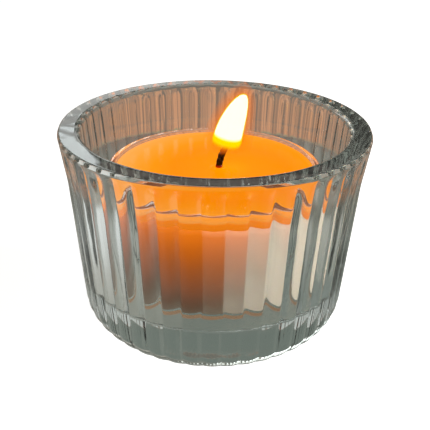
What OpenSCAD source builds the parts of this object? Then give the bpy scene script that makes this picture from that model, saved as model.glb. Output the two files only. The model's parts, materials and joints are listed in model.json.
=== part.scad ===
// Reeded glass tealight holder with a lit tealight: a pressed glass body, a clear plastic
// cup, solid wax under a pool of melted wax, a braided wick and its steel sustainer.
// Millimetres, +Z up. The origin is the middle of the underside, on the table.
// The tealight sets the size: the glass is built out from it by named clearances.

/* [Tealight cup] */
// Width of the cup's body, under its lip
cup_d = 38; // [30:0.2:60]
// Height of the cup
cup_h = 21; // [14:0.5:30]
// How much narrower the cup is at its foot than under its lip
cup_taper = 1; // [0:0.1:3]
// How far the lip stands out from the cup's body
lip_over = 0.5; // [0.2:0.1:1.5]
// Height of the lip band
lip_h = 0.9; // [0.5:0.1:2]
// Thickness of the cup's wall and floor
cup_t = 0.6; // [0.4:0.1:1]

/* [Glass holder] */
// Gap between the cup's lip and the pocket's wall
pocket_gap = 3.85; // [1:0.05:8]
// Height of the rim above the cup's lip
rim_rise = 8; // [3:0.5:20]
// Thickness of the rim, over the reeds
rim_wall = 4; // [3:0.1:7]
// Thickness of the glass base
base_t = 8; // [6:0.5:14]
// Height of the flared band under the rim
flare_h = 9; // [6:0.5:14]
// How far the rim flares out from the waist under it
flare_out = 1.1; // [0.2:0.05:2]
// Lean of the straight wall below the waist, in degrees from upright
wall_lean = 3.7; // [0:0.1:5]
// Slope of the pocket's wall, in degrees from upright
pocket_draft = 2.9; // [1:0.1:5]
// Radius of the rounded heel
heel_r = 4.6; // [2:0.1:6]
// Width of the bevel round the outer edge of the rim
bevel_w = 0.6; // [0.3:0.1:1.2]
// Height of the bevel round the outer edge of the rim
bevel_h = 1.1; // [0.6:0.1:1.4]
// Radius of the rounded inner edge of the rim
rim_inner_r = 1; // [0.2:0.1:1.2]
// Radius of the corner between the pocket's wall and its floor
pocket_r = 1.2; // [0.4:0.1:2]

/* [Reeds] */
// Number of reeds round the wall
reeds = 48; // [36:2:60]
// Radius of one reed's rounded face
reed_r = 4.4; // [3:0.1:8]
// Depth below the rim at which the grooves start to run out into it
runout_h = 3.2; // [2.4:0.2:5]

/* [Wax] */
// Depth of the melted wax's surface below the cup's lip
wax_drop = 0.9; // [0.5:0.1:3]
// Depth of the melted pool at the cup's wall
pool_edge_h = 2; // [1:0.5:5]
// How much deeper the melted pool is in the middle
pool_dish = 3; // [1:0.5:5]
// Gap between the wax and the cup's wall
wax_gap = 0.15; // [0.05:0.05:0.3]

/* [Wick] */
// Thickness of the wick
wick_d = 1.3; // [0.8:0.1:2]
// Length of straight wick that stands out of the melted wax
wick_stub_h = 1.4; // [0.5:0.1:3]
// Radius of the bend in the burning end of the wick
wick_bend_r = 4.5; // [3:0.5:8]
// Angle through which the burning end bends, in degrees
wick_bend = 50; // [20:5:80]

/* [Sustainer] */
// Width of the sustainer's steel disc
disc_d = 14; // [10:0.5:20]
// Thickness of the sheet steel
disc_t = 0.3; // [0.2:0.1:0.6]
// Height of the crimped neck that grips the wick, from the cup's floor
neck_h = 4; // [2:0.5:8]
// Thickness of the neck's wall
neck_t = 0.35; // [0.2:0.05:0.6]

/* [Hidden] */
$fn = 96;
// Overrun of a cut past the face that it leaves through
cut = 1;
// Depth of the core's face under the reeds' crests, more than a groove is deep
core_drop = 1.2;
// Straight pieces that make up the bend in the wick
wick_bend_steps = 2;
// How far the braid's knot at a bend stands proud of the wick
wick_knot = 0.05;
// Heights of the main levels, from the table
cup_z = base_t;
cup_floor_z = cup_z + cup_t;
lip_z = cup_z + cup_h;
wax_z = lip_z - wax_drop;
pool_z = wax_z - pool_edge_h;
height = lip_z + rim_rise;
waist_z = height - flare_h;
runout_z = height - runout_h;
collar_z = height - bevel_h;
// Radii of the outside, over the reeds' crests: at the rim, the waist and the table
mouth_r = cup_d / 2 + lip_over + pocket_gap + rim_rise * tan(pocket_draft);
rim_r = mouth_r + rim_wall;
waist_r = rim_r - flare_out;
foot_r = waist_r - waist_z * tan(wall_lean);
// Lean of the cup's wall from upright
cup_lean = atan(cup_taper / 2 / cup_h);

// Radius of the pocket at a height above the table
function pocket_wall_r(z) = mouth_r - (height - z) * tan(pocket_draft);
// Inside radius of the cup at a height above the table
function cup_inner_r(z) = cup_d / 2 - cup_t - (lip_z - z) * tan(cup_lean);
// Points round an arc, from one angle to another
function arc(x, z, r, from, to, steps = 8) =
  [for (i = [0 : steps]) let (a = from + (to - from) * i / steps) [x + r * cos(a), z + r * sin(a)]];

// Half outline over the reeds' crests: rounded heel, straight wall, flare, bevelled rim
module crest_outline() {
  heel_x = foot_r - heel_r / cos(wall_lean) + heel_r * tan(wall_lean);
  polygon(concat(
    [[0, 0]],
    arc(heel_x, heel_r, heel_r, -90, -wall_lean),
    [[waist_r, waist_z]],
    [[rim_r, collar_z], [rim_r - bevel_w, height], [0, height]]
  ));
}

// Half outline of the pocket: floor, rounded corner, sloping wall, rounded mouth
module pocket_outline() {
  corner_z = base_t + pocket_r;
  corner_x = pocket_wall_r(corner_z) - pocket_r / cos(pocket_draft);
  edge_x = mouth_r + rim_inner_r;
  polygon(concat(
    [[0, base_t]],
    arc(corner_x, corner_z, pocket_r, -90, -pocket_draft, 5),
    arc(edge_x, height - rim_inner_r, rim_inner_r, 180, 90, 4),
    [[edge_x, height + cut], [0, height + cut]]
  ));
}

// One reed: a round bar that leans with the wall, its crest on the outline
module reed() {
  translate([foot_r, 0, 0])
    rotate([0, wall_lean, 0])
    translate([-reed_r, 0, 0])
    cylinder(r = reed_r, h = height / cos(wall_lean) + cut);
}

// The ring of reeds, on a core that swells out past them to make the smooth rim
module reeded_wall() {
  runout_r = waist_r + flare_out * (runout_z - waist_z) / (collar_z - waist_z);
  cylinder(r1 = foot_r - core_drop, r2 = waist_r - core_drop, h = waist_z);
  translate([0, 0, waist_z])
    cylinder(r1 = waist_r - core_drop, r2 = runout_r - core_drop, h = runout_z - waist_z);
  translate([0, 0, runout_z])
    cylinder(r1 = runout_r - core_drop, r2 = rim_r, h = collar_z - runout_z);
  translate([0, 0, collar_z])
    cylinder(r = rim_r + cut, h = bevel_h);
  for (i = [0 : reeds - 1])
    rotate([0, 0, i * 360 / reeds]) reed();
}

module glass_holder() {
  color("#b9c6c4", 0.5)
  difference() {
    intersection() {
      rotate_extrude() crest_outline();
      reeded_wall();
    }
    rotate_extrude() pocket_outline();
  }
}

// Half outline of the cup: floor, leaning wall and the wider lip band
module cup_outline() {
  foot = cup_d / 2 - cup_taper / 2;
  lip_foot_z = lip_z - lip_h;
  polygon([
    [0, cup_z],
    [foot - cup_t, cup_z],
    [foot, cup_z + cup_t],
    [cup_d / 2, lip_foot_z],
    [cup_d / 2 + lip_over, lip_foot_z],
    [cup_d / 2 + lip_over, lip_z],
    [cup_inner_r(lip_z), lip_z],
    [cup_inner_r(cup_floor_z), cup_floor_z],
    [0, cup_floor_z]
  ]);
}

module tealight_cup() {
  color("#e6ecec", 0.4)
  rotate_extrude() cup_outline();
}

// The space inside the cup between two heights, less the gap at the wall
module cup_fill(low_z, high_z) {
  translate([0, 0, low_z])
    cylinder(
      r1 = cup_inner_r(low_z) - wax_gap,
      r2 = cup_inner_r(high_z) - wax_gap,
      h = high_z - low_z
    );
}

// The shallow bowl that the flame melts: a ball whose cap is the bottom of the pool
module pool_ball() {
  reach = cup_inner_r(pool_z) - wax_gap;
  ball_r = (reach * reach + pool_dish * pool_dish) / (2 * pool_dish);
  translate([0, 0, pool_z - pool_dish + ball_r]) sphere(r = ball_r);
}

// What the wax was poured round: the sustainer and the straight part of the wick
module wick_space() {
  translate([0, 0, cup_floor_z - cut]) cylinder(d = disc_d, h = disc_t + cut);
  translate([0, 0, cup_floor_z]) cylinder(d = wick_d + 2 * neck_t, h = neck_h);
  translate([0, 0, cup_floor_z]) cylinder(d = wick_d, h = wax_z - cup_floor_z + cut);
}

module wax() {
  color("#efe6d8")
  difference() {
    cup_fill(cup_floor_z, pool_z);
    pool_ball();
    wick_space();
  }
}

module melted_wax() {
  color("#ff9a1e", 0.8)
  difference() {
    union() {
      cup_fill(pool_z, wax_z);
      intersection() {
        cup_fill(cup_floor_z, pool_z);
        pool_ball();
      }
    }
    wick_space();
  }
}

// Straight through the wax, then bent over by its own burning, with a knot at each bend
module wick() {
  bend_z = wax_z + wick_stub_h;
  turn = wick_bend / wick_bend_steps;
  step = 2 * wick_bend_r * sin(turn / 2);
  color("#3a322c") {
    translate([0, 0, cup_floor_z + disc_t])
      cylinder(d = wick_d, h = bend_z - cup_floor_z - disc_t);
    for (i = [0 : wick_bend_steps - 1])
      translate([wick_bend_r * (1 - cos(i * turn)), 0, bend_z + wick_bend_r * sin(i * turn)])
      rotate([0, (i + 0.5) * turn, 0]) {
        sphere(d = wick_d + 2 * wick_knot);
        cylinder(d = wick_d, h = step);
      }
  }
}

module wick_sustainer() {
  color("#b8babc") {
    translate([0, 0, cup_floor_z]) cylinder(d = disc_d, h = disc_t);
    translate([0, 0, cup_floor_z + disc_t])
    difference() {
      cylinder(d = wick_d + 2 * neck_t, h = neck_h - disc_t);
      translate([0, 0, -cut]) cylinder(d = wick_d, h = neck_h + 2 * cut);
    }
  }
}

glass_holder();
tealight_cup();
wax();
melted_wax();
wick();
wick_sustainer();
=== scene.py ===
import json
import math

import bmesh
import bpy
from mathutils import Euler, Matrix, Vector, noise

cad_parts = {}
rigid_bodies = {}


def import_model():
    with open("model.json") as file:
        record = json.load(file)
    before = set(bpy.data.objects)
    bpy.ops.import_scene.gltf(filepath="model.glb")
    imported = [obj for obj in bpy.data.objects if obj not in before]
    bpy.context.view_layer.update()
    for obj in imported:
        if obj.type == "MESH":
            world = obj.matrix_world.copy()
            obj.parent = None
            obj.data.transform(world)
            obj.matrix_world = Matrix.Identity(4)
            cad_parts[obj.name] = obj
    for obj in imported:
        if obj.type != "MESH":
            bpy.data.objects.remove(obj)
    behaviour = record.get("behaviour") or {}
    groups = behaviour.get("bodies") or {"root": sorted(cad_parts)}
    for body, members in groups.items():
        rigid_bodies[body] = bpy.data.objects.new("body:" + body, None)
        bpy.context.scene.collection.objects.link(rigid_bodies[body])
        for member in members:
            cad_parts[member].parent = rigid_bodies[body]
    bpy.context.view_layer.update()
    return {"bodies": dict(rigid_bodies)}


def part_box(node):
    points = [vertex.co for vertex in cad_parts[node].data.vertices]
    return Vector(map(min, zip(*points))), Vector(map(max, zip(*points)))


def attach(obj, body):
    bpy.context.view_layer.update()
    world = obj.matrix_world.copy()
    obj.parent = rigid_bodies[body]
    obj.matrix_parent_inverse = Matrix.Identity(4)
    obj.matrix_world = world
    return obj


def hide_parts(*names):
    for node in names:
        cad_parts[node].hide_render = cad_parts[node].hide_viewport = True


bl_info = {
    "name": "Reeded tealight holder",
    "version": (1, 0, 0),
    "blender": (4, 5, 0),
    "location": "3D View > Sidebar > Tealight",
    "description": "Builds a reeded glass tealight holder with a lit tealight, and its stage",
    "category": "Add Mesh",
}

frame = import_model()

MM = 0.001
GLASS_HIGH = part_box("glass_holder")[1]
CUP_LOW, CUP_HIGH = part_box("tealight_cup")
WAX_LOW, WAX_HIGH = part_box("wax")
POOL_LOW, POOL_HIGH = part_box("melted_wax")
WICK_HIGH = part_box("wick")[1]
DISC_LOW, DISC_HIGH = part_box("wick_sustainer")


# ---------------------------------------------------------------- sizes and colours

def length(name, description, default):
    """A size in metres that the panel shows."""
    return bpy.props.FloatProperty(
        name=name, description=description, default=default, precision=5, unit="LENGTH"
    )


def angle(name, description, degrees):
    """An angle that the panel shows, given in degrees."""
    return bpy.props.FloatProperty(
        name=name, description=description, default=math.radians(degrees), unit="ROTATION"
    )


def colour(name, description, hex_text):
    """A colour that the panel shows, given as sRGB hex."""
    return bpy.props.FloatVectorProperty(
        name=name, description=description, subtype="COLOR", size=4, default=linear(hex_text)
    )


def linear(hex_text):
    """An sRGB hex colour as linear red, green, blue and a full alpha."""
    parts = [int(hex_text[i:i + 2], 16) / 255 for i in (1, 3, 5)]
    curve = [c / 12.92 if c <= 0.04045 else ((c + 0.055) / 1.055) ** 2.4 for c in parts]
    return (*curve, 1.0)


BLACK, WHITE = linear("#000000"), linear("#FFFFFF")


class TealightGlass(bpy.types.PropertyGroup):
    """Sizes of the pressed glass body that its box doesn't give"""

    reeds: bpy.props.IntProperty(name="Reeds", description="Reeds round the wall", default=48)
    reed_r: length("Reed radius", "Radius of one reed's rounded face", 4.4 * MM)
    groove_r: length("Groove radius", "How far the bottom of a groove is rounded", 0.1 * MM)
    runout_h: length("Run-out", "Depth below the rim at which the grooves start to run out into it", 2.3 * MM)
    flare_out: length("Flare", "How far the rim flares out from the waist under it", 1.1 * MM)
    flare_h: length("Flare height", "Height of the flared band under the rim", 9 * MM)
    wall_lean: angle("Wall lean", "Lean of the straight wall from upright", 3.7)
    heel_r: length("Heel radius", "Radius of the rounded heel", 4.6 * MM)
    rim_wall: length("Rim wall", "Thickness of the rim over the reeds", 4 * MM)
    bevel_w: length("Bevel width", "Width of the bevel round the rim's outer edge", 0.3 * MM)
    bevel_h: length("Bevel height", "Height of the bevel round the rim's outer edge", 0.7 * MM)
    rim_inner_r: length("Inner rim radius", "Radius of the rim's inner edge", 1 * MM)
    base_t: length("Base", "Thickness of the glass base", CUP_LOW.z)
    pocket_draft: angle("Pocket draft", "Slope of the pocket's wall from upright", 2.9)
    pocket_r: length("Pocket corner", "Radius between the pocket's wall and floor", 1.2 * MM)
    ripple: length("Ripple", "How far fire polishing left the surface uneven", 0.03 * MM)
    tint: colour("Tint", "Colour of the glass by surface", "#F6F8F6")
    depth_tint: colour("Depth tint", "Colour that a thick stretch of glass takes", "#BCC8BE")


class TealightCup(bpy.types.PropertyGroup):
    """Sizes of the clear plastic cup"""

    wall_t: length("Wall", "Thickness of the cup's wall", 0.6 * MM)
    top_r: length("Top radius", "Outside radius under the lip", 19 * MM)
    foot_r: length("Foot radius", "Outside radius at the foot", 18.5 * MM)
    lip_h: length("Lip height", "Height of the lip band", 0.9 * MM)
    plastic: colour("Plastic", "Colour of the clear plastic", "#F2F5F4")


class TealightWax(bpy.types.PropertyGroup):
    """Sizes of the solid and melted wax"""

    meniscus: length("Meniscus", "How far the melt climbs the cup and the wick", 0.35 * MM)
    # painted glow: where the wax's painted orange emission reaches deepest
    glow_x: length("Glow place", "How far beside the axis the flame's light reaches deepest", -3.7 * MM)


class TealightWick(bpy.types.PropertyGroup):
    """Sizes of the wick and its sustainer"""

    wick_r: length("Wick radius", "Radius of the braided wick", 0.62 * MM)
    lean: length("Lean", "How far the wick has drifted from the axis at the melt", 0.75 * MM)
    tip_x: length("Tip place", "How far the burnt tip stands to the side of the axis", 2.7 * MM)
    braid_pitch: length("Braid pitch", "Length of one crossing of the braid", 1.1 * MM)
    neck_r: length("Neck radius", "Outside radius of the sustainer's neck", 1.0 * MM)
    char: colour("Char", "Colour of the burnt cotton", "#120604")
    steel: colour("Tinned steel", "Colour of the tinned sheet", "#C4C6C8")


class TealightFlame(bpy.types.PropertyGroup):
    """Size and lean of the flame"""

    clear_h: length("Clear foot", "From the melt's surface to the flame's foot", 2.4 * MM)
    height: length("Height", "From the flame's foot to its tip", 11.6 * MM)
    width: length("Width", "At the widest", 5.1 * MM)
    foot_x: length("Foot place", "How far the foot stands to the side of the axis", 1.8 * MM)
    lean: length("Lean", "How far the tip stands to the side of the foot", 3.1 * MM)
    halo: length("Halo", "Thickness of the glow round the flame", 2.0 * MM)
    core_white: colour("Core", "Colour of the hottest part", "#FFFFF8")
    core_yellow: colour("Edge", "Colour of the flame's edge", "#FFFA00")
    core_orange: colour("Foot", "Colour of the flame's foot and halo", "#FF8200")
    power: bpy.props.FloatProperty(name="Power", description="Light that it gives, in watts", default=0.003)


class TealightStage(bpy.types.PropertyGroup):
    """Camera and surroundings"""

    distance: length("Distance", "From the camera to the middle of the rim", 118.6 * MM)
    elevation: angle("Elevation", "Height of the camera over the rim", 19.23)
    look_down: angle("Look down", "Tilt below the middle of the rim", 8.04)
    pan: angle("Pan", "Turn to the right of the middle of the rim", 0.09)
    roll: angle("Roll", "Turn of the camera about its view", 0.85)
    lens: bpy.props.FloatProperty(name="Lens", description="Focal length in millimetres", default=55.0)


GROUPS = {
    "tealight_glass": TealightGlass,
    "tealight_cup": TealightCup,
    "tealight_wax": TealightWax,
    "tealight_wick": TealightWick,
    "tealight_flame": TealightFlame,
    "tealight_stage": TealightStage,
}


# ---------------------------------------------------------------- mesh helpers

def arc(x, z, r, start, end, steps):
    """Points round an arc in the half outline, angles in degrees."""
    turns = [math.radians(start + (end - start) * i / steps) for i in range(steps + 1)]
    return [(x + r * math.cos(a), z + r * math.sin(a)) for a in turns]


def fillet(corner, r, start, end, steps):
    """Points round a corner, between faces whose normals point at two angles in degrees."""
    middle, half = math.radians((start + end) / 2), math.radians((end - start) / 2)
    back = r / math.cos(half)
    return arc(corner[0] - back * math.cos(middle), corner[1] - back * math.sin(middle), r, start, end, steps)


def line(a, b, steps):
    """Points from a to b without b."""
    return [(a[0] + (b[0] - a[0]) * i / steps, a[1] + (b[1] - a[1]) * i / steps) for i in range(steps)]


def smooth_step(low, high, x):
    """0 below low, 1 above high, and an even curve between."""
    t = min(1.0, max(0.0, (x - low) / (high - low)))
    return t * t * (3 - 2 * t)


def mesh_object(name, bm, material):
    """A shaded object from a bmesh, its normals outward."""
    bmesh.ops.recalc_face_normals(bm, faces=bm.faces)
    mesh = bpy.data.meshes.new(name)
    bm.to_mesh(mesh)
    bm.free()
    mesh.shade_smooth()
    mesh.materials.append(material)
    obj = bpy.data.objects.new(name, mesh)
    bpy.context.scene.collection.objects.link(obj)
    return obj


def join_rings(bm, rings):
    """Joins rings of vertices with faces. A ring of one vertex closes an end."""
    for low, high in zip(rings, rings[1:]):
        count = max(len(low), len(high))
        for k in range(count):
            n = (k + 1) % count
            corners = [low[k % len(low)], high[k % len(high)], high[n % len(high)], low[n % len(low)]]
            bm.faces.new(dict.fromkeys(corners))


def settle(piece, body, node, finish):
    """Lets a piece ride its body in place of its CAD node. Its finish argument is not used."""
    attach(piece, body)
    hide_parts(node)


def even_turns(count):
    """Angles of equal steps round the axis."""
    return [2 * math.pi * k / count for k in range(count)]


def lathe(outline, turns, place=None):
    """A bmesh turned from a half outline of (r, z) points about Z; place(i, angle) may move a point."""
    bm = bmesh.new()
    rings = []
    for i, (r, z) in enumerate(outline):
        if r < 1e-9:
            rings.append([bm.verts.new((0, 0, z))])
            continue
        ring = []
        for a in turns:
            rr, zz = place(i, a) if place else (r, z)
            ring.append(bm.verts.new((rr * math.cos(a), rr * math.sin(a), zz)))
        rings.append(ring)
    join_rings(bm, rings)
    return bm


def sweep(path, radius, sides, shape):
    """A closed tube along a path; shape(i, angle) scales its radius."""
    bm = bmesh.new()
    rings = []
    side = Vector((0, 1, 0))
    for i, point in enumerate(path):
        ahead = path[min(i + 1, len(path) - 1)] - path[max(i - 1, 0)]
        up = ahead.normalized()
        across = side.cross(up).normalized()
        ring = []
        for k in range(sides):
            a = 2 * math.pi * k / sides
            r = radius * shape(i, a)
            ring.append(bm.verts.new(point + across * (r * math.cos(a)) + side * (r * math.sin(a))))
        rings.append(ring)
    middles = [sum((v.co for v in ring), Vector()) / sides for ring in (rings[0], rings[-1])]
    foot, tip = ([bm.verts.new(middle)] for middle in middles)
    join_rings(bm, [foot, *rings, tip])
    return bm


# ---------------------------------------------------------------- node helpers

def new_material(name):
    """An empty material and its node tree."""
    material = bpy.data.materials.new(name)
    material.use_nodes = True
    material.node_tree.nodes.clear()
    return material, material.node_tree


def add(tree, kind, settings=None, **links):
    """Adds a node. settings sets its properties; links joins or sets its inputs, by name or as i0, i1."""
    node = tree.nodes.new(kind)
    for key, value in (settings or {}).items():
        setattr(node, key, value)
    for key, value in links.items():
        numbered = key[0] == "i" and key[1:].isdigit()
        socket = node.inputs[int(key[1:]) if numbered else key.replace("_", " ")]
        if isinstance(value, bpy.types.NodeSocket):
            tree.links.new(value, socket)
        else:
            socket.default_value = value
    return node


def set_ramp(node, stops):
    """Gives a colour ramp its stops, as (place, colour)."""
    ramp = node.color_ramp
    while len(ramp.elements) > 1:
        ramp.elements.remove(ramp.elements[-1])
    ramp.elements[0].position, ramp.elements[0].color = stops[0]
    for place, value in stops[1:]:
        ramp.elements.new(place).color = value


def axis_of(tree, name):
    """One object coordinate, in metres."""
    place = add(tree, "ShaderNodeTexCoord")
    return add(tree, "ShaderNodeSeparateXYZ", i0=place.outputs["Object"]).outputs[name]


def ramp_along(tree, value, low, high, stops):
    """A colour that follows a value from low to high."""
    place = add(tree, "ShaderNodeMapRange", i0=value, i1=low, i2=high)
    ramp = add(tree, "ShaderNodeValToRGB", i0=place.outputs[0])
    set_ramp(ramp, stops)
    return ramp.outputs[0]


def noise_bump(tree, size, strength, depth):
    """A normal from noise with bumps of a real size, in metres, raised by depth."""
    place = add(tree, "ShaderNodeTexCoord")
    grain = add(tree, "ShaderNodeTexNoise", Vector=place.outputs["Object"], Scale=1 / size, Detail=2.0)
    bump = add(tree, "ShaderNodeBump", Height=grain.outputs[0], Strength=strength, Distance=depth)
    return bump.outputs[0]


# ---------------------------------------------------------------- materials

def pressed_soda_glass(props):
    """Pressed soda-lime glass, fire polished: clear, faintly grey-green in depth, a soft ripple in its gloss.
    Lamps pass through it, so that what stands inside is lit."""
    material, tree = new_material("pressed_soda_glass")
    ripple = noise_bump(tree, 1.6 * MM, 0.015, 0.05 * MM)
    glass = add(
        tree, "ShaderNodeBsdfPrincipled", Base_Color=tuple(props.tint), Roughness=0.02, IOR=1.52,
        Transmission_Weight=1.0, Normal=ripple,
    )
    clear = add(tree, "ShaderNodeBsdfTransparent").outputs[0]
    shadow = add(tree, "ShaderNodeLightPath").outputs["Is Shadow Ray"]
    mix = add(tree, "ShaderNodeMixShader", i0=shadow, i1=glass.outputs[0], i2=clear)
    depth = add(tree, "ShaderNodeVolumeAbsorption", Color=tuple(props.depth_tint), Density=9.0)
    add(tree, "ShaderNodeOutputMaterial", Surface=mix.outputs[0], Volume=depth.outputs[0])
    return material


def moulded_polycarbonate(props):
    """Injection-moulded clear polycarbonate: water clear and glossy.
    Near its lip a painted orange glow, an emission, stands in for the flame's light that the plastic pipes."""
    material, tree = new_material("moulded_polycarbonate")
    # painted glow: orange emission over the cup's top 3 mm stands in for the flame's light in the plastic
    painted_lip_glow = ramp_along(tree, axis_of(tree, "Z"), CUP_HIGH.z - 3 * MM, CUP_HIGH.z, [
        (0.0, BLACK), (0.6, linear("#7A3C14")), (1.0, linear("#B8642C")),
    ])
    plastic = add(
        tree, "ShaderNodeBsdfPrincipled", Base_Color=tuple(props.plastic), Roughness=0.05, IOR=1.5,
        Transmission_Weight=1.0, Emission_Color=painted_lip_glow, Emission_Strength=0.35,
    )
    clear = add(tree, "ShaderNodeBsdfTransparent").outputs[0]
    shadow = add(tree, "ShaderNodeLightPath").outputs["Is Shadow Ray"]
    mix = add(tree, "ShaderNodeMixShader", i0=shadow, i1=plastic.outputs[0], i2=clear)
    add(tree, "ShaderNodeOutputMaterial", Surface=mix.outputs[0])
    return material


def cast_paraffin(props):
    """Cast paraffin: pale and milky. A painted glow, an emission, stands in for the flame's light inside it,
    so it fades from orange to its own cream. The painted glow reaches deepest at glow_x, and its levels curve
    up from there to both sides."""
    material, tree = new_material("cast_paraffin")
    curve = 52.0
    aside = add(tree, "ShaderNodeMath", {"operation": "SUBTRACT"}, i0=axis_of(tree, "X"), i1=props.glow_x)
    square = add(tree, "ShaderNodeMath", {"operation": "POWER"}, i0=aside.outputs[0], i1=2.0)
    rise = add(tree, "ShaderNodeMath", {"operation": "MULTIPLY"}, i0=square.outputs[0], i1=curve)
    depth = add(tree, "ShaderNodeMath", {"operation": "SUBTRACT"}, i0=axis_of(tree, "Z"), i1=rise.outputs[0])
    # painted glow: orange to brown emission by depth stands in for the flame's light scattered in the wax
    painted_glow = ramp_along(tree, depth.outputs[0], WAX_LOW.z, WAX_HIGH.z, [
        (0.0, linear("#5C4A3A")),
        (0.1, linear("#543014")),
        (0.19, linear("#643008")),
        (0.37, linear("#8A4004")),
        (0.54, linear("#A64E04")),
        (0.71, linear("#CA6008")),
        (0.88, linear("#EC7410")),
        (1.0, linear("#FF8010")),
    ])
    cloud = add(tree, "ShaderNodeTexNoise", Scale=1 / (6 * MM), Detail=3.0)
    cream = ramp_along(tree, cloud.outputs[0], 0.3, 0.7, [
        (0.0, linear("#E2D4C2")), (1.0, linear("#EBDFD0")),
    ])
    wax = add(
        tree, "ShaderNodeBsdfPrincipled", Base_Color=cream, Roughness=0.5, IOR=1.44,
        Subsurface_Weight=0.15, Subsurface_Scale=1.5 * MM, Normal=noise_bump(tree, 1.5 * MM, 0.15, 0.1 * MM),
        Subsurface_Radius=(1.0, 0.55, 0.25), Specular_IOR_Level=0.2,
        Emission_Color=painted_glow, Emission_Strength=1.15,
    )
    add(tree, "ShaderNodeOutputMaterial", Surface=wax.outputs[0])
    return material


def melted_paraffin():
    """Melted paraffin: a still liquid, with a painted orange glow, an emission that stands in for the flame's
    light, paler where it thins out at the cup. The painted orange is deepest round a place under the flame, a
    little to the side of the axis."""
    material, tree = new_material("melted_paraffin")
    under_flame = 3 * MM
    place = add(tree, "ShaderNodeTexCoord").outputs["Object"]
    off = add(tree, "ShaderNodeVectorMath", {"operation": "SUBTRACT"}, i0=place, i1=(under_flame, 0, 0))
    flat = add(tree, "ShaderNodeVectorMath", {"operation": "MULTIPLY"}, i0=off.outputs[0], i1=(1, 1, 0))
    reach = add(tree, "ShaderNodeVectorMath", {"operation": "LENGTH"}, i0=flat.outputs[0])
    # painted glow: orange emission on the melt's top, deepest under the flame and paler towards the cup
    top = ramp_along(tree, reach.outputs["Value"], 0.0, POOL_HIGH.x + under_flame, [
        (0.0, linear("#FF9A00")),
        (0.2, linear("#FF8E00")),
        (0.5, linear("#FF8A00")),
        (0.68, linear("#FF9206")),
        (0.85, linear("#FF9C2E")),
        (1.0, linear("#FFA852")),
    ])
    level = ramp_along(
        tree, axis_of(tree, "Z"), POOL_HIGH.z - 0.8 * MM, POOL_HIGH.z - 0.4 * MM, [(0.0, BLACK), (1.0, WHITE)]
    )
    # painted glow: orange emission on the melt's side
    side = linear("#FF8610")
    painted_glow = add(tree, "ShaderNodeMix", {"data_type": "RGBA"}, i0=level, i6=side, i7=top).outputs[2]
    wax = add(
        tree, "ShaderNodeBsdfPrincipled", Base_Color=linear("#4A1C00"), Roughness=0.14, IOR=1.44,
        Specular_IOR_Level=0.02, Normal=noise_bump(tree, 5 * MM, 0.2, 0.15 * MM),
        Emission_Color=painted_glow, Emission_Strength=1.1,
    )
    add(tree, "ShaderNodeOutputMaterial", Surface=wax.outputs[0])
    return material


def charred_cotton(props):
    """Braided cotton burnt to char: dull black, with an ember's orange where it reaches into the flame, and a
    painted orange glow at its foot, where it leaves the melt.
    """
    material, tree = new_material("charred_cotton")
    # the ember's own glow at the tip; at the foot a painted glow stands in for the melt's light on the wick
    ember_and_painted_glow = ramp_along(tree, axis_of(tree, "Z"), POOL_HIGH.z, WICK_HIGH.z, [
        (0.0, linear("#FF4C00")),
        (0.06, linear("#C02800")),
        (0.16, linear("#1A0400")),
        (0.52, linear("#140200")),
        (0.64, linear("#8A2C00")),
        (0.82, linear("#F06800")),
        (1.0, linear("#FF8A00")),
    ])
    cotton = add(
        tree, "ShaderNodeBsdfPrincipled", Base_Color=tuple(props.char), Roughness=0.9,
        Normal=noise_bump(tree, 0.15 * MM, 0.6, 0.05 * MM), Emission_Color=ember_and_painted_glow, Emission_Strength=1.0,
    )
    add(tree, "ShaderNodeOutputMaterial", Surface=cotton.outputs[0])
    return material


def tinned_steel(props):
    """Tinned sheet steel, pressed: bright and a little cloudy."""
    material, tree = new_material("tinned_steel")
    steel = add(
        tree, "ShaderNodeBsdfPrincipled", Base_Color=tuple(props.steel), Metallic=1.0, Roughness=0.28,
        Normal=noise_bump(tree, 0.4 * MM, 0.2, 0.02 * MM),
    )
    add(tree, "ShaderNodeOutputMaterial", Surface=steel.outputs[0])
    return material


def flame_gas(name, low, high, colours, cover, strength):
    """Burning gas: light without a surface. Its colour, cover and strength follow the height from low to
    high, in bands that slant down to the side that the flame leans to."""
    material, tree = new_material(name)
    slant = add(tree, "ShaderNodeMath", {"operation": "MULTIPLY"}, i0=axis_of(tree, "X"), i1=0.2).outputs[0]
    height = add(tree, "ShaderNodeMath", {"operation": "ADD"}, i0=axis_of(tree, "Z"), i1=slant).outputs[0]
    hue = ramp_along(tree, height, low, high, colours)
    veil = ramp_along(tree, height, low, high, [(at, (a, a, a, 1)) for at, a in cover])
    most = max(power for _, power in strength)
    greys = [(at, (power / most,) * 3 + (1,)) for at, power in strength]
    share = ramp_along(tree, height, low, high, greys)
    power = add(tree, "ShaderNodeMath", {"operation": "MULTIPLY"}, i0=share, i1=most)
    light = add(tree, "ShaderNodeEmission", Color=hue, Strength=power.outputs[0])
    clear = add(tree, "ShaderNodeBsdfTransparent")
    mix = add(tree, "ShaderNodeMixShader", i0=veil, i1=clear.outputs[0], i2=light.outputs[0])
    add(tree, "ShaderNodeOutputMaterial", Surface=mix.outputs[0])
    return material


def pale_board():
    """Matt painted board, lit from within so that it stays pale and even."""
    material, tree = new_material("pale_floor")
    shade = linear("#FCFCFB")
    board = add(
        tree, "ShaderNodeBsdfPrincipled", Base_Color=shade, Roughness=0.95, Specular_IOR_Level=0.0,
        Emission_Color=shade, Emission_Strength=1.0,
    )
    add(tree, "ShaderNodeOutputMaterial", Surface=board.outputs[0])
    return material


# ---------------------------------------------------------------- pieces

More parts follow.
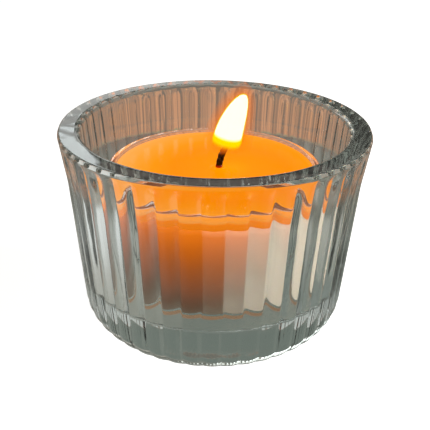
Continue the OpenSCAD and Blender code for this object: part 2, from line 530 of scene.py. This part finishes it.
def glass_outline(p):
    """Half outline of the glass over the reeds' crests, with how much of the groove's depth each point takes.
    Starts under the middle of the base and ends in the middle of the pocket's floor."""
    top, rim_r = GLASS_HIGH.z, GLASS_HIGH.x
    waist_z = top - p.flare_h
    waist_r = rim_r - p.flare_out
    foot_r = waist_r - waist_z * math.tan(p.wall_lean)
    heel_x = foot_r - p.heel_r / math.cos(p.wall_lean) + p.heel_r * math.tan(p.wall_lean)
    points = line((0.0, 0.0), (heel_x, 0.0), 6)
    grooved = [0.0] * len(points)
    heel_steps = 14
    heel = arc(heel_x, p.heel_r, p.heel_r, -90, -math.degrees(p.wall_lean), heel_steps)
    points += heel
    grooved += [smooth_step(0.1, 0.75, i / heel_steps) for i in range(len(heel))]
    collar_z = top - p.bevel_h
    slope_up = math.degrees(math.atan2(p.bevel_w, p.bevel_h))
    flare = -math.degrees(math.atan2(p.flare_out, collar_z - waist_z))
    low_edge_r, high_edge_r = 0.6 * MM, 0.3 * MM
    bevel = fillet((rim_r, collar_z), low_edge_r, flare, slope_up, 5)
    bevel += fillet((rim_r - p.bevel_w, top), high_edge_r, slope_up, 90, 5)
    start, end = heel[-1], bevel[0]
    bend = 3.0 * MM
    wall_steps = 38
    for i in range(1, wall_steps):
        z = start[1] + (end[1] - start[1]) * i / wall_steps
        low = foot_r + z * math.tan(p.wall_lean)
        high = waist_r + p.flare_out * (z - waist_z) / (collar_z - waist_z)
        share = smooth_step(waist_z - bend, waist_z + bend, z)
        points.append((low + (high - low) * share, z))
        grooved.append(1 - smooth_step(top - p.runout_h, collar_z, z))
    points += bevel
    mouth_r = rim_r - p.rim_wall + p.rim_inner_r
    points += line((rim_r - p.bevel_w, top), (mouth_r, top), 6)[1:]
    points += arc(mouth_r, top - p.rim_inner_r, p.rim_inner_r, 90, 180, 9)
    slope = math.tan(p.pocket_draft)
    corner_z = p.base_t + p.pocket_r
    corner_r = rim_r - p.rim_wall - (top - corner_z) * slope
    points += line((rim_r - p.rim_wall, top - p.rim_inner_r), (corner_r, corner_z), 16)[1:]
    points += arc(corner_r - p.pocket_r, corner_z, p.pocket_r, 0, -90, 7)
    points += line((corner_r - p.pocket_r, p.base_t), (0.0, p.base_t), 6)[1:]
    points.append((0.0, p.base_t))
    grooved += [0.0] * (len(points) - len(grooved))
    return points, grooved


def outline_normals(points):
    """Unit normal at each point of an outline that runs anticlockwise in (r, z)."""
    normals = []
    for i in range(len(points)):
        a, b = points[max(i - 1, 0)], points[min(i + 1, len(points) - 1)]
        dr, dz = b[0] - a[0], b[1] - a[1]
        size = math.hypot(dr, dz) or 1.0
        normals.append((dz / size, -dr / size))
    return normals


def groove_drop(p, a, r):
    """How far the face lies below the reed's crest at an angle: round bars in a row, with soft grooves."""
    pitch = 2 * math.pi / p.reeds
    off = abs((a + pitch / 2) % pitch - pitch / 2) * r
    half = pitch / 2 * r
    from_groove = math.sqrt((half - off) ** 2 + p.groove_r ** 2)
    along = max(0.0, half - from_groove)
    return p.reed_r - math.sqrt(p.reed_r ** 2 - along ** 2)


def reed_turns(reeds, steps):
    """Angles round the wall that crowd together at the grooves, where the face turns fastest."""
    half = math.pi / reeds
    turns = []
    for k in range(reeds):
        turns += [2 * half * k + half * math.sin(math.pi * (i / steps - 0.5)) for i in range(steps)]
    return turns


class TEALIGHT_OT_glass(bpy.types.Operator):
    """Builds the pressed glass body with its reeds"""

    bl_idname = "tealight.glass"
    bl_label = "Glass body"

    def execute(self, context):
        p = context.scene.tealight_glass
        points, grooved = glass_outline(p)
        normals = outline_normals(points)
        ripple_size = 4 * MM

        def place(i, a):
            (r, z), (nr, nz) = points[i], normals[i]
            drop = groove_drop(p, a, r) * grooved[i]
            spot = Vector((r * math.cos(a), r * math.sin(a), z)) / ripple_size
            drop += p.ripple * abs(noise.noise(spot)) * smooth_step(0, 2 * MM, z)
            return r - nr * drop, z - nz * drop

        bm = lathe(points, reed_turns(p.reeds, 14), place)
        glass = mesh_object("glass_body", bm, pressed_soda_glass(p))
        settle(glass, "holder", "glass_holder", "clear_glass")
        return {"FINISHED"}


class TEALIGHT_OT_cup(bpy.types.Operator):
    """Builds the clear plastic cup of the tealight"""

    bl_idname = "tealight.cup"
    bl_label = "Tealight cup"

    def execute(self, context):
        p = context.scene.tealight_cup
        low, top, lip_r = CUP_LOW.z, CUP_HIGH.z, CUP_HIGH.x
        edge, corner = 0.15 * MM, 0.8 * MM
        hollow, hollow_r = 0.3 * MM, 9 * MM
        swell_h, swell_steps = 1.2 * MM, 12
        swell_z = top - p.lip_h - 0.7 * MM
        inner_top, inner_foot = p.top_r - p.wall_t, p.foot_r - p.wall_t
        points = [(0.0, low + hollow), (hollow_r, low + hollow), (hollow_r + 2 * hollow, low)]
        points += arc(p.foot_r - corner, low + corner, corner, -90, 0, 6)
        points += line((p.foot_r, low + corner + 0.1 * MM), (p.top_r, swell_z), 6)
        for i in range(swell_steps + 1):
            r = p.top_r + (lip_r - p.top_r) * smooth_step(0, swell_steps, i)
            points.append((r, swell_z + swell_h * i / swell_steps))
        points += arc(lip_r - 2 * edge, top - 2 * edge, 2 * edge, 0, 90, 5)
        points += arc(inner_top + edge, top - edge, edge, 90, 180, 4)
        points += line((inner_top, top - 2 * edge), (inner_foot, low + 1.4 * MM), 6)
        points += arc(inner_foot - corner, low + p.wall_t + corner, corner, 0, -90, 6)
        points += [(0.0, low + p.wall_t)]
        cup = mesh_object("cup_shell", lathe(points, even_turns(192)), moulded_polycarbonate(p))
        settle(cup, "tealight", "tealight_cup", "clear_plastic")
        return {"FINISHED"}


def pool_bottom(steps):
    """Half outline of the bottom of the melt, a shallow dish, from the cup to the middle."""
    edge_z, mid_z, reach = WAX_HIGH.z, POOL_LOW.z, POOL_HIGH.x
    return [
        (reach * (1 - i / steps), mid_z + (edge_z - mid_z) * (1 - i / steps) ** 2) for i in range(steps)
    ]


def wick_drift(p, z):
    """How far the wick stands from the axis at a height: it leans over between its neck and the melt."""
    return p.lean * smooth_step(DISC_HIGH.z, POOL_HIGH.z, z)


def lean_with_wick(bm, p):
    """Moves the wax round the wick over with it."""
    for vert in bm.verts:
        reach = math.hypot(vert.co.x, vert.co.y)
        vert.co.x += wick_drift(p, vert.co.z) * (1 - smooth_step(p.wick_r, 6 * MM, reach))


class TEALIGHT_OT_wax(bpy.types.Operator):
    """Builds the solid wax and the melted pool on it"""

    bl_idname = "tealight.wax"
    bl_label = "Wax and melt"

    def execute(self, context):
        p, wick = context.scene.tealight_wax, context.scene.tealight_wick
        hole = WICK_HIGH.y
        foot_r, corner, climb_w = WAX_HIGH.x - 0.6 * MM, 0.6 * MM, 0.5 * MM
        dish = [(r, z) for r, z in pool_bottom(14) if r > hole]
        block = line((hole, WAX_LOW.z), (foot_r - corner, WAX_LOW.z), 4)
        block += arc(foot_r - corner, WAX_LOW.z + corner, corner, -90, 0, 5)
        block += line((foot_r, WAX_LOW.z + corner), dish[0], 12)[1:]
        block += dish + line((hole, POOL_LOW.z), (hole, WAX_LOW.z), 4) + [block[0]]
        top, reach, wick_r = POOL_HIGH.z, POOL_HIGH.x, wick.wick_r
        surface = []
        for i in range(25):
            r = wick_r + (reach - wick_r) * i / 24
            climb = math.exp(-(reach - r) / climb_w) + 0.8 * math.exp(-(r - wick_r) / climb_w)
            surface.append((r, top + p.meniscus * climb))
        pool = list(reversed(dish)) + [(reach, WAX_HIGH.z + 0.5 * MM)] + list(reversed(surface))
        pool += [(wick_r, POOL_LOW.z + 0.2 * MM)]
        pieces = (
            ("wax_block", block, cast_paraffin(p), "wax", "solid_wax"),
            ("wax_pool", pool + [pool[0]], melted_paraffin(), "melted_wax", "liquid_wax"),
        )
        for name, outline, material, node, finish in pieces:
            bm = lathe(outline, even_turns(160))
            lean_with_wick(bm, wick)
            settle(mesh_object(name, bm, material), "candle", node, finish)
        return {"FINISHED"}


def wick_path(p, count):
    """Points up the wick: leaning a little through the wax, then bent over into the flame."""
    foot, melt = DISC_LOW.z + 0.5 * MM, POOL_HIGH.z
    tip = WICK_HIGH.z + 0.2 * MM
    path = []
    for i in range(count):
        z = foot + (melt - foot) * i / count
        path.append(Vector((wick_drift(p, z), 0, z)))
    for i in range(count + 1):
        t = i / count
        bent = (p.tip_x - p.lean) * (0.25 * t + 0.75 * t ** 2.2)
        path.append(Vector((p.lean + bent, 0.12 * MM * math.sin(5 * t), melt + (tip - melt) * t)))
    return path


class TEALIGHT_OT_wick(bpy.types.Operator):
    """Builds the braided wick and the steel sustainer that holds it"""

    bl_idname = "tealight.wick"
    bl_label = "Wick and sustainer"

    def execute(self, context):
        p = context.scene.tealight_wick
        path = wick_path(p, 60)
        run = 0.0
        runs = []
        for i, point in enumerate(path):
            run += (point - path[i - 1]).length if i else 0.0
            runs.append(run)

        def braid(i, a):
            turn = 2 * math.pi * runs[i] / p.braid_pitch
            strand = max(abs(math.cos(1.5 * a + turn / 2)), abs(math.cos(1.5 * a - turn / 2)))
            burnt = smooth_step(runs[-1] - 2.5 * MM, runs[-1], runs[i])
            ragged = 0.12 * noise.noise(path[i] / (0.4 * MM) + Vector((math.cos(a), math.sin(a), 0)))
            return (0.78 + 0.22 * strand + ragged) * (1 - 0.45 * burnt)

        wick = mesh_object("wick_braid", sweep(path, p.wick_r, 28, braid), charred_cotton(p))
        settle(wick, "candle", "wick", "wick_cotton")
        low, high, disc_r = DISC_LOW.z, DISC_HIGH.z, DISC_HIGH.x
        hole, sheet, edge, bend = WICK_HIGH.y, 0.3 * MM, 0.1 * MM, 1.2 * MM
        neck_z = low + 1.6 * MM
        outline = [(hole, low), (disc_r - edge, low), (disc_r, low + edge), (disc_r, low + sheet)]
        outline += [(disc_r - edge, low + sheet), (4.5 * MM, low + sheet)]
        outline += arc(p.neck_r + bend, low + sheet + bend, bend, 270, 180, 6)
        outline += line((p.neck_r, neck_z), (p.neck_r, high), 8)
        outline += [(p.neck_r, high), (hole, high), (hole, low)]

        def crimp(i, a):
            r, z = outline[i]
            pinch = 0.12 * MM * max(0.0, math.cos(3 * a)) * smooth_step(neck_z, high, z)
            return (max(hole, r - pinch), z)

        disc = mesh_object("sustainer_disc", lathe(outline, even_turns(72), crimp), tinned_steel(p))
        settle(disc, "candle", "wick_sustainer", "tinned_steel")
        return {"FINISHED"}


def flame_width(t):
    """Share of the full width at a share of the height: round at the foot, widest low down, a rounded tip."""
    widest = 0.28
    if t < widest:
        return 0.62 + 0.38 * math.sin(math.pi / 2 * t / widest)
    return math.cos(math.pi / 2 * (t - widest) / (1 - widest)) ** 0.45


def flame_shell(name, p, foot_z, swells, material):
    """Closed leaning teardrops one inside the other, each grown by its swell."""
    rows, sides = 40, 36
    bm = bmesh.new()
    for swell in swells:
        rings = []
        for i in range(rows + 1):
            t = (1 - math.cos(math.pi * i / rows)) / 2
            z = foot_z - swell + (p.height + 2 * swell) * t
            middle_x = p.foot_x + p.lean * t ** 1.7
            r = (p.width / 2 + swell) * flame_width(t) if 0 < i < rows else 0.0
            turns = even_turns(sides if r else 1)
            rings.append([bm.verts.new((middle_x + r * math.cos(a), r * math.sin(a), z)) for a in turns])
        join_rings(bm, rings)
    shell = mesh_object(name, bm, material)
    shell.visible_shadow = False
    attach(shell, "candle")


class TEALIGHT_OT_flame(bpy.types.Operator):
    """Builds the flame in thin layers, and the light that it gives"""

    bl_idname = "tealight.flame"
    bl_label = "Flame"

    def execute(self, context):
        p = context.scene.tealight_flame
        foot = POOL_HIGH.z + p.clear_h
        tip = foot + p.height
        white, yellow, orange = tuple(p.core_white), tuple(p.core_yellow), tuple(p.core_orange)
        core = flame_gas(
            "flame_core_gas", foot, tip,
            [(0, orange), (0.22, orange), (0.3, yellow), (0.36, yellow), (0.41, white), (1, white)],
            [(0, 0.0), (0.1, 0.0), (0.24, 0.16), (0.3, 0.8), (0.34, 1.0), (1, 1.0)],
            [(0, 1.0), (0.35, 1.1), (0.42, 3.5), (1, 3.5)],
        )
        edge = flame_gas(
            "flame_edge_gas", foot, tip, [(0, orange), (0.3, yellow), (1, yellow)],
            [(0, 0.0), (0.22, 0.0), (0.34, 0.5), (1, 0.5)], [(0, 1.1), (1, 1.1)],
        )
        halo = flame_gas(
            "flame_halo_gas", foot, tip, [(0, orange), (1, orange)],
            [(0, 0.0), (0.15, 0.0), (0.45, 0.08), (1, 0.08)], [(0, 1.0), (1, 1.0)],
        )
        layers = [p.halo * share for share in (0.12, 0.18, 0.26, 0.38, 0.55, 0.76, 1.0)]
        flame_shell("flame_core", p, foot, [0.0], core)
        flame_shell("flame_edge", p, foot, [0.18 * MM], edge)
        flame_shell("flame_halo", p, foot, layers, halo)
        lamp = bpy.data.lights.new("flame_light", "POINT")
        lamp.energy = p.power
        lamp.color = linear("#FFB050")[:3]
        lamp.shadow_soft_size = p.width / 2
        holder = bpy.data.objects.new("flame_light", lamp)
        holder.location = (p.foot_x + p.lean / 2, 0, foot + p.height * 0.55)
        bpy.context.scene.collection.objects.link(holder)
        holder.parent = frame["bodies"]["candle"]
        return {"FINISHED"}


# ---------------------------------------------------------------- stage

def disc_board(name, z, material):
    """A round board of the stage, 4 m across."""
    bm = bmesh.new()
    bmesh.ops.create_circle(bm, cap_ends=True, segments=96, radius=2.0)
    board = mesh_object(name, bm, material)
    board.location.z = z
    return board


def hide_from(obj, *rays):
    """Hides an object from kinds of rays."""
    for ray in rays:
        setattr(obj, "visible_" + ray, False)


def soft_box(name, place, target, width, height, watts, shade):
    """A rectangular studio light aimed at a point."""
    lamp = bpy.data.lights.new(name, "AREA")
    lamp.shape = "RECTANGLE"
    lamp.size, lamp.size_y = width, height
    lamp.energy = watts
    lamp.color = linear(shade)[:3]
    box = bpy.data.objects.new(name, lamp)
    box.location = place
    aim = Vector(target) - Vector(place)
    box.rotation_euler = aim.to_track_quat("-Z", "Y").to_euler()
    hide_from(box, "camera", "glossy", "transmission")
    bpy.context.scene.collection.objects.link(box)


def band(tree, value, edges):
    """1 where a value lies between the middle two of four edges, fading to 0 at the outer two."""
    even = {"interpolation_type": "SMOOTHSTEP"}
    rise, fall = (
        add(tree, "ShaderNodeMapRange", even, i0=value, i1=low, i2=high).outputs[0]
        for low, high in (edges[:2], reversed(edges[2:]))
    )
    return add(tree, "ShaderNodeMath", {"operation": "MULTIPLY"}, i0=rise, i1=fall).outputs[0]


def straight(tree):
    """1 on a ray that only glass or gloss has turned, 0 once a matt face has scattered it."""
    path = add(tree, "ShaderNodeLightPath")
    return add(
        tree, "ShaderNodeMath", {"operation": "LESS_THAN"}, i0=path.outputs["Diffuse Depth"], i1=0.5
    ).outputs[0]


def surroundings():
    """White to the camera, dim to the matt pieces, and to glass a grey room with pale walls. In its gloss a
    window shows too, at the back left, with a paler sill under it. Heights and bearings are in degrees."""
    world = bpy.data.worlds.new("studio")
    bpy.context.scene.world = world
    world.use_nodes = True
    world.cycles.sampling_method = "NONE"
    tree = world.node_tree
    tree.nodes.clear()
    place = add(tree, "ShaderNodeTexCoord").outputs["Generated"]
    way = add(tree, "ShaderNodeSeparateXYZ", i0=place).outputs
    height = add(tree, "ShaderNodeMath", {"operation": "ARCSINE"}, i0=way["Z"]).outputs[0]
    bearing = add(tree, "ShaderNodeMath", {"operation": "ARCTAN2"}, i0=way["X"], i1=way["Y"]).outputs[0]
    off_side = add(tree, "ShaderNodeMath", {"operation": "ABSOLUTE"}, i0=bearing).outputs[0]
    path = add(tree, "ShaderNodeLightPath").outputs

    def between(value, degrees):
        return band(tree, value, [math.radians(a) for a in degrees])

    room = ramp_along(tree, height, 0.0, math.radians(90), [
        (0.0, linear("#77736B")),
        (0.15, linear("#7C7870")),
        (0.22, linear("#74756E")),
        (0.25, linear("#8C8C84")),
        (0.264, linear("#D8CCC0")),
        (0.29, linear("#D8CCC0")),
        (0.36, linear("#868A82")),
        (0.5, linear("#8A8E86")),
        (1.0, linear("#9C9EA0")),
    ])
    front = ramp_along(tree, off_side, math.radians(85), math.radians(130), [(0.0, BLACK), (1.0, WHITE)])
    seen = add(
        tree, "ShaderNodeMix", {"data_type": "RGBA"}, i0=front, i6=room, i7=linear("#4A4A48")
    ).outputs[2]
    for turn, turn_edges, height_edges, rays, light in (
        (off_side, (5, 14, 90, 120), (20, 32, 60, 80), 1.0, linear("#CED2D0")),
        (bearing, (-50, -47, -11.4, -10.4), (18.2, 20.2, 24, 28), path["Is Glossy Ray"], (3.1, 3.3, 3.3, 1)),
        (bearing, (-50, -40, -6, 4), (10, 13, 18.5, 20.5), path["Is Glossy Ray"], (1.4, 1.4, 1.35, 1)),
    ):
        patch = add(
            tree, "ShaderNodeMath", {"operation": "MULTIPLY"},
            i0=between(turn, turn_edges), i1=between(height, height_edges),
        ).outputs[0]
        patch = add(tree, "ShaderNodeMath", {"operation": "MULTIPLY"}, i0=patch, i1=rays).outputs[0]
        seen = add(tree, "ShaderNodeMix", {"data_type": "RGBA"}, i0=patch, i6=seen, i7=light).outputs[2]
    mirrored = add(
        tree, "ShaderNodeMath", {"operation": "MAXIMUM"},
        i0=path["Is Transmission Ray"], i1=path["Is Glossy Ray"],
    ).outputs[0]
    through = add(
        tree, "ShaderNodeMath", {"operation": "MULTIPLY"}, i0=mirrored, i1=straight(tree)
    ).outputs[0]
    dim = (0.01, 0.01, 0.01, 1)
    plain = add(
        tree, "ShaderNodeMix", {"data_type": "RGBA"}, i0=path["Is Camera Ray"], i6=dim, i7=WHITE
    ).outputs[2]
    final = add(tree, "ShaderNodeMix", {"data_type": "RGBA"}, i0=through, i6=plain, i7=seen).outputs[2]
    back = add(tree, "ShaderNodeBackground", Color=final, Strength=1.0)
    add(tree, "ShaderNodeOutputWorld", Surface=back.outputs[0])


def card_board():
    """A card that shows its own shade whatever the light, for the glass to pick up: grey-green under the
    base, grey round it, warm streaks behind where the flame lights the table, dark in front and pale at the
    left."""
    material, tree = new_material("shade_card")
    place = add(tree, "ShaderNodeTexCoord").outputs["Object"]
    x, y = axis_of(tree, "X"), axis_of(tree, "Y")
    reach = add(tree, "ShaderNodeVectorMath", {"operation": "LENGTH"}, i0=place).outputs["Value"]
    streak_turn = math.radians(20)
    bearing = add(tree, "ShaderNodeMath", {"operation": "ARCTAN2"}, i0=x, i1=y).outputs[0]
    spoke = add(tree, "ShaderNodeMath", {"operation": "MULTIPLY"}, i0=bearing, i1=1 / streak_turn).outputs[0]
    streak = add(tree, "ShaderNodeTexNoise", {"noise_dimensions": "1D"}, W=spoke, Detail=1.0).outputs[0]
    patch = add(tree, "ShaderNodeTexNoise", Vector=place, Scale=1 / (34 * MM), Detail=1.0).outputs[0]
    grey = ramp_along(tree, patch, 0.4, 0.6, [(0.0, linear("#74766E")), (1.0, linear("#A2A49C"))])
    warm = ramp_along(tree, streak, 0.38, 0.62, [(0.0, linear("#84766A")), (1.0, linear("#CE9C7C"))])
    near = ramp_along(tree, reach, 0.098, 0.112, [(0.0, linear("#726C64")), (1.0, WHITE)])
    warm = add(tree, "ShaderNodeVectorMath", {"operation": "MINIMUM"}, i0=warm, i1=near).outputs[0]
    behind = ramp_along(tree, y, 0.04, 0.1, [(0.0, BLACK), (1.0, WHITE)])
    shade = add(tree, "ShaderNodeMix", {"data_type": "RGBA"}, i0=behind, i6=grey, i7=warm).outputs[2]
    for x_edges, y_edges, colour_there in (
        ((-0.06, -0.035, 0.035, 0.06), (-3.0, -2.9, -0.05, -0.036), "#26241F"),
        ((-0.085, -0.072, -0.034, -0.03), (-0.03, -0.026, 0.012, 0.02), "#E4E8E6"),
    ):
        where = add(
            tree, "ShaderNodeMath", {"operation": "MULTIPLY"},
            i0=band(tree, x, x_edges), i1=band(tree, y, y_edges),
        ).outputs[0]
        shade = add(
            tree, "ShaderNodeMix", {"data_type": "RGBA"}, i0=where, i6=shade, i7=linear(colour_there)
        ).outputs[2]
    middle = band(tree, reach, [-0.02, -0.01, 0.03, 0.06])
    under = ramp_along(tree, x, -0.022, -0.004, [(0.0, linear("#AEAEA6")), (1.0, linear("#7C847E"))])
    shade = add(tree, "ShaderNodeMix", {"data_type": "RGBA"}, i0=middle, i6=shade, i7=under).outputs[2]
    light = add(tree, "ShaderNodeEmission", Color=shade, Strength=straight(tree))
    add(tree, "ShaderNodeOutputMaterial", Surface=light.outputs[0])
    return material


class TEALIGHT_OT_stage(bpy.types.Operator):
    """Sets the floor, the light and the camera"""

    bl_idname = "tealight.stage"
    bl_label = "Stage"

    def execute(self, context):
        p = context.scene.tealight_stage
        scene = context.scene
        rim = Vector((0, 0, GLASS_HIGH.z))
        lens = bpy.data.cameras.new("camera")
        lens.lens, lens.sensor_width, lens.clip_start = p.lens, 36.0, 1 * MM
        camera = bpy.data.objects.new("camera", lens)
        scene.collection.objects.link(camera)
        away = Vector((0, -math.cos(p.elevation), math.sin(p.elevation)))
        turn = Euler((math.pi / 2 - p.elevation, 0, 0)).to_matrix()
        turn = turn @ Matrix.Rotation(-p.pan, 3, "Y") @ Matrix.Rotation(-p.look_down, 3, "X")
        turn = turn @ Matrix.Rotation(p.roll, 3, "Z")
        camera.location = rim + away * p.distance
        camera.rotation_euler = turn.to_euler()
        scene.camera = camera
        floor = disc_board("floor", 0.0, pale_board())
        hide_from(floor, "transmission", "glossy", "diffuse")
        card = disc_board("grey_card", -0.05 * MM, card_board())
        hide_from(card, "camera", "diffuse", "shadow")
        soft_box("key", (0.4, -0.035, 0.1), (0, 0, 0.02), 0.1, 0.1, 2.35, "#FFFDFA")
        surroundings()
        scene.view_settings.view_transform = "Standard"
        scene.cycles.use_denoising = True
        scene.cycles.max_bounces = 16
        scene.cycles.transmission_bounces = 16
        scene.cycles.transparent_max_bounces = 64
        scene.cycles.glossy_bounces = 8
        scene.cycles.sample_clamp_indirect = 4.0
        return {"FINISHED"}


# ---------------------------------------------------------------- panel and registration

OPERATORS = (
    TEALIGHT_OT_stage,
    TEALIGHT_OT_glass,
    TEALIGHT_OT_cup,
    TEALIGHT_OT_wax,
    TEALIGHT_OT_wick,
    TEALIGHT_OT_flame,
)


class TEALIGHT_PT_panel(bpy.types.Panel):
    """Lists the sizes and the steps of the build"""

    bl_idname = "TEALIGHT_PT_panel"
    bl_label = "Tealight holder"
    bl_space_type = "VIEW_3D"
    bl_region_type = "UI"
    bl_category = "Tealight"

    def draw(self, context):
        for name, group in GROUPS.items():
            box = self.layout.box()
            box.label(text=group.__doc__.splitlines()[0])
            for key in group.__annotations__:
                box.prop(getattr(context.scene, name), key)
        for operator in OPERATORS:
            self.layout.operator(operator.bl_idname)


CLASSES = (*GROUPS.values(), *OPERATORS, TEALIGHT_PT_panel)


def register():
    """Registers the classes, and gives the scene each group of sizes."""
    for item in CLASSES:
        bpy.utils.register_class(item)
    for name, group in GROUPS.items():
        setattr(bpy.types.Scene, name, bpy.props.PointerProperty(type=group))


def unregister():
    """Takes back what register gave."""
    for name in GROUPS:
        delattr(bpy.types.Scene, name)
    for item in reversed(CLASSES):
        bpy.utils.unregister_class(item)


def main():
    """Builds everything."""
    register()
    bpy.ops.tealight.stage()
    bpy.ops.tealight.glass()
    bpy.ops.tealight.cup()
    bpy.ops.tealight.wax()
    bpy.ops.tealight.wick()
    bpy.ops.tealight.flame()


if __name__ == "__main__":
    main()
